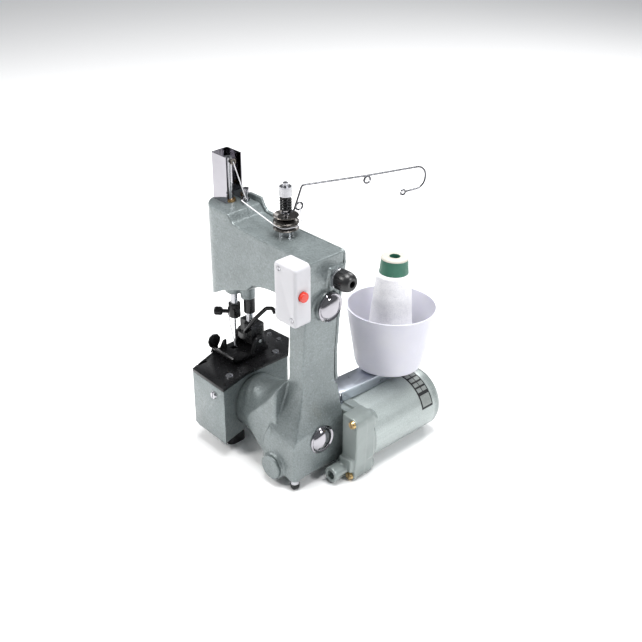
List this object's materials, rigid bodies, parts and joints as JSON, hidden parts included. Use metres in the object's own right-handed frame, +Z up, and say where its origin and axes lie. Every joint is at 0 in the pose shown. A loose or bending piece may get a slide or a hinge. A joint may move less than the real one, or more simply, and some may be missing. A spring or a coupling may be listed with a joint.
{
  "type": "bag closer sewing machine",
  "caption": "Portable bag closing sewing machine with a C-shaped cast frame, motor, thread cone in a cup, needle and presser foot over a flat throat plate.",
  "frame": {"origin": "middle of the overall footprint, on the surface that the machine stands on", "axes": "+Z up; +X from the sewing head towards the belt column; +Y the feed direction, towards the motor and thread stand"},
  "size_m": [0.1834, 0.2056, 0.29],
  "materials": {
    "hammered_green_paint": "grey-green hammertone enamel, satin",
    "motor_green_paint": "lighter grey-green enamel, semi-gloss",
    "black_oxide_steel": "black oxide, satin",
    "bright_steel": "ground and polished",
    "dark_steel": "dark plated",
    "chrome_plate": "bright chrome plate",
    "bronze": "sintered bronze",
    "brass": "yellow brass",
    "black_rubber": "moulded, matt",
    "white_plastic": "moulded, fine satin",
    "cup_plastic": "translucent frosted polypropylene",
    "red_plastic": "moulded gloss",
    "black_plastic": "moulded nylon",
    "zinc_sheet": "bright zinc plate",
    "white_thread": "wound polyester sewing thread",
    "green_core": "green moulded cone",
    "plate_foil": "black printed foil with grey fields",
    "laminated_steel": "stacked sheets with windings"
  },
  "bodies": {
    "machine": {"body_casting": "hammered_green_paint", "bed_casting": "hammered_green_paint", "rear_cover": "hammered_green_paint", "cover_screws": "bright_steel", "bed_front_cover": "hammered_green_paint", "throat_plate": "black_oxide_steel", "rubber_feet": "black_rubber", "shaft_end_caps": "chrome_plate", "gear_housing_cap": "hammered_green_paint", "shaft_bushings": "bronze", "timing_belt": "black_rubber", "presser_bushing": "black_oxide_steel", "presser_screw": "chrome_plate", "presser_spring": "bright_steel", "bag_guide": "black_oxide_steel", "switch_cover": "white_plastic", "switch_body": "black_plastic", "gland_nut": "bright_steel", "gland_body": "black_plastic", "needle_bar_cover": "chrome_plate", "tension_post": "bright_steel", "tension_discs": "dark_steel", "tension_spring": "dark_steel", "thread_stand_wire": "bright_steel", "arm_thread_guide": "bright_steel", "gear_adapter": "motor_green_paint", "adapter_screws": "brass", "motor_housing": "motor_green_paint", "motor_tail": "motor_green_paint", "motor_stator": "laminated_steel", "nameplate": "plate_foil", "cup_bracket": "zinc_sheet", "thread_cup": "cup_plastic", "cone_spindle": "bright_steel", "thread_run": "white_thread"},
    "lower_drive": {"lower_shaft": "bright_steel", "lower_shaft_wheels": "dark_steel"},
    "upper_drive": {"upper_shaft": "bright_steel", "upper_pulley": "dark_steel"},
    "worm_drive": {"worm_shaft": "bright_steel"},
    "motor_armature": {"motor_rotor": "laminated_steel"},
    "needle_drive": {"needle_bar": "bright_steel", "needle_bar_carrier": "dark_steel", "needle_clamp": "black_oxide_steel", "needle_thumb_screw": "black_oxide_steel", "needle": "bright_steel", "needle_bar_eye": "dark_steel", "thread_needle": "white_thread"},
    "rod": {"connecting_rod": "bright_steel"},
    "presser": {"presser_bar": "bright_steel", "presser_holder": "black_oxide_steel", "presser_pin": "bright_steel", "lift_finger": "black_oxide_steel"},
    "foot": {"presser_foot": "black_oxide_steel"},
    "feed": {"feed_dog": "dark_steel"},
    "looper_arm": {"looper": "bright_steel"},
    "button": {"switch_button": "red_plastic"},
    "tension_knob": {"tension_nut": "bright_steel"},
    "thread_cone": {"cone_core": "green_core", "thread_package": "white_thread"}
  },
  "joints": [
    {"name": "lower_shaft_turn", "type": "hinge", "parent": "machine", "child": "lower_drive", "pos_m": [0.0033, -0.05545, 0.046], "axis": [1, 0, 0], "continuous": true},
    {"name": "upper_shaft_turn", "type": "hinge", "parent": "machine", "child": "upper_drive", "pos_m": [0.0033, -0.04545, 0.184], "axis": [1, 0, 0], "continuous": true},
    {"name": "worm_turn", "type": "hinge", "parent": "machine", "child": "worm_drive", "pos_m": [0.0348, -0.05545, 0.018], "axis": [0, 1, 0], "continuous": true},
    {"name": "motor_turn", "type": "hinge", "parent": "machine", "child": "motor_armature", "pos_m": [0.0563, 0.02855, 0.032], "axis": [0, 1, 0], "continuous": true},
    {"name": "needle_stroke", "type": "slide", "parent": "machine", "child": "needle_drive", "axis": [0, 0, 1], "range_m": [-0.012, 0.012]},
    {"name": "rod_swing", "type": "hinge", "parent": "needle_drive", "child": "rod", "pos_m": [-0.0557, -0.04545, 0.208], "axis": [1, 0, 0], "range_deg": [-59, 1]},
    {"name": "presser_lift", "type": "slide", "parent": "machine", "child": "presser", "axis": [0, 0, 1], "range_m": [0, 0.008], "deforming": ["presser_spring"]},
    {"name": "foot_tilt", "type": "hinge", "parent": "presser", "child": "foot", "pos_m": [-0.0637, -0.03445, 0.097], "axis": [1, 0, 0], "range_deg": [-6, 1]},
    {"name": "feed_stroke", "type": "slide", "parent": "machine", "child": "feed", "axis": [0, 1, 0], "range_m": [-0.0025, 0.0025]},
    {"name": "looper_swing", "type": "hinge", "parent": "machine", "child": "looper_arm", "pos_m": [-0.0667, -0.02545, 0.04], "axis": [1, 0, 0], "range_deg": [-10, 10]},
    {"name": "button_press", "type": "slide", "parent": "machine", "child": "button", "axis": [1, 0, 0], "range_m": [-0.0025, 0], "stiffness_N_per_m": 500, "springref_m": 0.001},
    {"name": "tension_turn", "type": "hinge", "parent": "machine", "child": "tension_knob", "pos_m": [0.0048, -0.04445, 0.277], "axis": [0, 0, 1], "range_deg": [-360, 360]},
    {"name": "cone_turn", "type": "hinge", "parent": "machine", "child": "thread_cone", "pos_m": [0.0413, 0.05552, 0.07439], "axis": [0, 0.0436, 0.999], "continuous": true}
  ],
  "couplings": [
    {"joint": "worm_turn", "follows": "motor_turn", "ratio": -0.87734},
    {"joint": "lower_shaft_turn", "follows": "motor_turn", "ratio": -0.1316},
    {"joint": "upper_shaft_turn", "follows": "motor_turn", "ratio": -0.1316}
  ]
}
